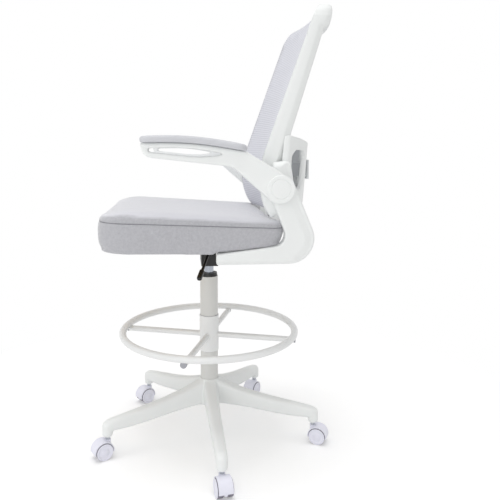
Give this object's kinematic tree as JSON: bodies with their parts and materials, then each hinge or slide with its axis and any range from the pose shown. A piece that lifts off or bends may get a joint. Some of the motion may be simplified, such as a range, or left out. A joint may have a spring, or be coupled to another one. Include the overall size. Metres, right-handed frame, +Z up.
{
  "type": "mesh drafting chair",
  "caption": "Tall mesh-back task chair with padded seat, flip-up arms, height-adjustable foot ring, gas lift and a five-star base on twin-wheel casters.",
  "frame": {"origin": "on the floor under the middle of the lift column", "axes": "+Z up, the sitter faces -Y, +X is the sitter's left"},
  "size_m": [0.6515, 0.6605, 1.186],
  "materials": {
    "white_nylon": "moulded, fine satin texture",
    "white_powder_coat": "semi-gloss powder coat",
    "caster_plastic": "moulded, smooth",
    "grey_fabric": "woven upholstery over foam",
    "pad_skin": "soft skinned foam",
    "mesh_fabric": "stretched open mesh",
    "lumbar_plastic": "moulded, matte",
    "black_plastic": "moulded, satin",
    "grey_plastic": "moulded, matte",
    "black_steel": "black powder coat",
    "chromed_steel": "polished chrome",
    "bright_steel": "turned, zinc plated",
    "plywood": "sanded plywood under a dust cover"
  },
  "bodies": {
    "base": {"star_base": "white_nylon", "column_tube": "white_powder_coat", "column_bush": "black_plastic", "thrust_bearing": "bright_steel"},
    "foot_ring": {"foot_ring": "white_powder_coat", "foot_ring_spokes": "white_powder_coat", "foot_ring_plugs": "grey_plastic", "foot_ring_collar": "white_powder_coat", "foot_ring_sleeve": "black_plastic"},
    "swivel": {"piston_rod": "chromed_steel"},
    "seat": {"gas_cylinder": "chromed_steel", "mechanism_housing": "black_steel", "lever_pin": "bright_steel", "seat_board": "plywood", "seat_cushion": "grey_fabric", "mechanism_bolts": "black_steel", "bracket_bolts": "black_steel", "bracket_left": "white_nylon", "bracket_right": "white_nylon", "back_yoke": "white_nylon", "back_frame": "white_nylon", "back_mesh": "mesh_fabric", "pivot_bolts": "bright_steel"},
    "lever": {"lift_lever": "black_steel", "lever_grip": "black_plastic"},
    "button": {"release_button": "bright_steel"},
    "arm_left": {"arm_left": "white_nylon", "pivot_cap_left": "white_nylon", "arm_pad_left": "pad_skin"},
    "arm_right": {"arm_right": "white_nylon", "pivot_cap_right": "white_nylon", "arm_pad_right": "pad_skin"},
    "lumbar": {"lumbar_pad": "lumbar_plastic", "lumbar_carrier": "white_nylon"},
    "caster_1": {"caster_stem_1": "bright_steel", "caster_hood_1": "white_nylon", "caster_axle_1": "bright_steel"},
    "wheel_1a": {"caster_wheel_1a": "caster_plastic"},
    "wheel_1b": {"caster_wheel_1b": "caster_plastic"},
    "caster_2": {"caster_stem_2": "bright_steel", "caster_hood_2": "white_nylon", "caster_axle_2": "bright_steel"},
    "wheel_2a": {"caster_wheel_2a": "caster_plastic"},
    "wheel_2b": {"caster_wheel_2b": "caster_plastic"},
    "caster_3": {"caster_stem_3": "bright_steel", "caster_hood_3": "white_nylon", "caster_axle_3": "bright_steel"},
    "wheel_3a": {"caster_wheel_3a": "caster_plastic"},
    "wheel_3b": {"caster_wheel_3b": "caster_plastic"},
    "caster_4": {"caster_stem_4": "bright_steel", "caster_hood_4": "white_nylon", "caster_axle_4": "bright_steel"},
    "wheel_4a": {"caster_wheel_4a": "caster_plastic"},
    "wheel_4b": {"caster_wheel_4b": "caster_plastic"},
    "caster_5": {"caster_stem_5": "bright_steel", "caster_hood_5": "white_nylon", "caster_axle_5": "bright_steel"},
    "wheel_5a": {"caster_wheel_5a": "caster_plastic"},
    "wheel_5b": {"caster_wheel_5b": "caster_plastic"}
  },
  "joints": [
    {"name": "seat_swivel", "type": "hinge", "parent": "base", "child": "swivel", "pos_m": [0, 0, 0.1], "axis": [0, 0, 1], "continuous": true},
    {"name": "seat_lift", "type": "slide", "parent": "swivel", "child": "seat", "axis": [0, 0, 1], "range_m": [0, 0.2]},
    {"name": "foot_ring_slide", "type": "slide", "parent": "base", "child": "foot_ring", "axis": [0, 0, 1], "range_m": [-0.078, 0.09]},
    {"name": "lever_lift", "type": "hinge", "parent": "seat", "child": "lever", "pos_m": [0.04, 0, 0.55205], "axis": [0, -1, 0], "range_deg": [0, 6], "stiffness_Nm_per_rad": 4, "springref_deg": -2.86},
    {"name": "button_press", "type": "slide", "parent": "seat", "child": "button", "axis": [0, 0, -1], "range_m": [0, 0.0048]},
    {"name": "arm_flip_left", "type": "hinge", "parent": "seat", "child": "arm_left", "pos_m": [0.2655, 0.157, 0.734], "axis": [-1, 0, 0], "range_deg": [0, 90]},
    {"name": "arm_flip_right", "type": "hinge", "parent": "seat", "child": "arm_right", "pos_m": [-0.2655, 0.157, 0.734], "axis": [-1, 0, 0], "range_deg": [0, 90]},
    {"name": "lumbar_slide", "type": "slide", "parent": "seat", "child": "lumbar", "axis": [0, 0, 1], "range_m": [-0.02, 0.02]},
    {"name": "caster_swivel_1", "type": "hinge", "parent": "base", "child": "caster_1", "pos_m": [0.29959, 0.0157, 0.0575], "axis": [0, 0, 1], "continuous": true},
    {"name": "wheel_spin_1a", "type": "hinge", "parent": "caster_1", "child": "wheel_1a", "pos_m": [0.31431, 0.01856, 0.023], "axis": [-0.1908, 0.9816, 0], "continuous": true},
    {"name": "wheel_spin_1b", "type": "hinge", "parent": "caster_1", "child": "wheel_1b", "pos_m": [0.31431, 0.01856, 0.023], "axis": [-0.1908, 0.9816, 0], "continuous": true},
    {"name": "caster_swivel_2", "type": "hinge", "parent": "base", "child": "caster_2", "pos_m": [0.07765, 0.28978, 0.0575], "axis": [0, 0, 1], "continuous": true},
    {"name": "wheel_spin_2a", "type": "hinge", "parent": "caster_2", "child": "wheel_2a", "pos_m": [0.08422, 0.30326, 0.023], "axis": [-0.8988, 0.4384, 0], "continuous": true},
    {"name": "wheel_spin_2b", "type": "hinge", "parent": "caster_2", "child": "wheel_2b", "pos_m": [0.08422, 0.30326, 0.023], "axis": [-0.8988, 0.4384, 0], "continuous": true},
    {"name": "caster_swivel_3", "type": "hinge", "parent": "base", "child": "caster_3", "pos_m": [-0.2516, 0.16339, 0.0575], "axis": [0, 0, 1], "continuous": true},
    {"name": "wheel_spin_3a", "type": "hinge", "parent": "caster_3", "child": "wheel_3a", "pos_m": [-0.23978, 0.15416, 0.023], "axis": [0.6157, 0.788, 0], "continuous": true},
    {"name": "wheel_spin_3b", "type": "hinge", "parent": "caster_3", "child": "wheel_3b", "pos_m": [-0.23978, 0.15416, 0.023], "axis": [0.6157, 0.788, 0], "continuous": true},
    {"name": "caster_swivel_4", "type": "hinge", "parent": "base", "child": "caster_4", "pos_m": [-0.23314, -0.1888, 0.0575], "axis": [0, 0, 1], "continuous": true},
    {"name": "wheel_spin_4a", "type": "hinge", "parent": "caster_4", "child": "wheel_4a", "pos_m": [-0.22433, -0.20093, 0.023], "axis": [0.809, 0.5878, 0], "continuous": true},
    {"name": "wheel_spin_4b", "type": "hinge", "parent": "caster_4", "child": "wheel_4b", "pos_m": [-0.22433, -0.20093, 0.023], "axis": [0.809, 0.5878, 0], "continuous": true},
    {"name": "caster_swivel_5", "type": "hinge", "parent": "base", "child": "caster_5", "pos_m": [0.10751, -0.28007, 0.0575], "axis": [0, 0, 1], "continuous": true},
    {"name": "wheel_spin_5a", "type": "hinge", "parent": "caster_5", "child": "wheel_5a", "pos_m": [0.11478, -0.29319, 0.023], "axis": [0.8746, 0.4848, 0], "continuous": true},
    {"name": "wheel_spin_5b", "type": "hinge", "parent": "caster_5", "child": "wheel_5b", "pos_m": [0.11478, -0.29319, 0.023], "axis": [0.8746, 0.4848, 0], "continuous": true}
  ],
  "couplings": [
    {"joint": "button_press", "follows": "lever_lift", "m_per_rad": 0.0445}
  ]
}
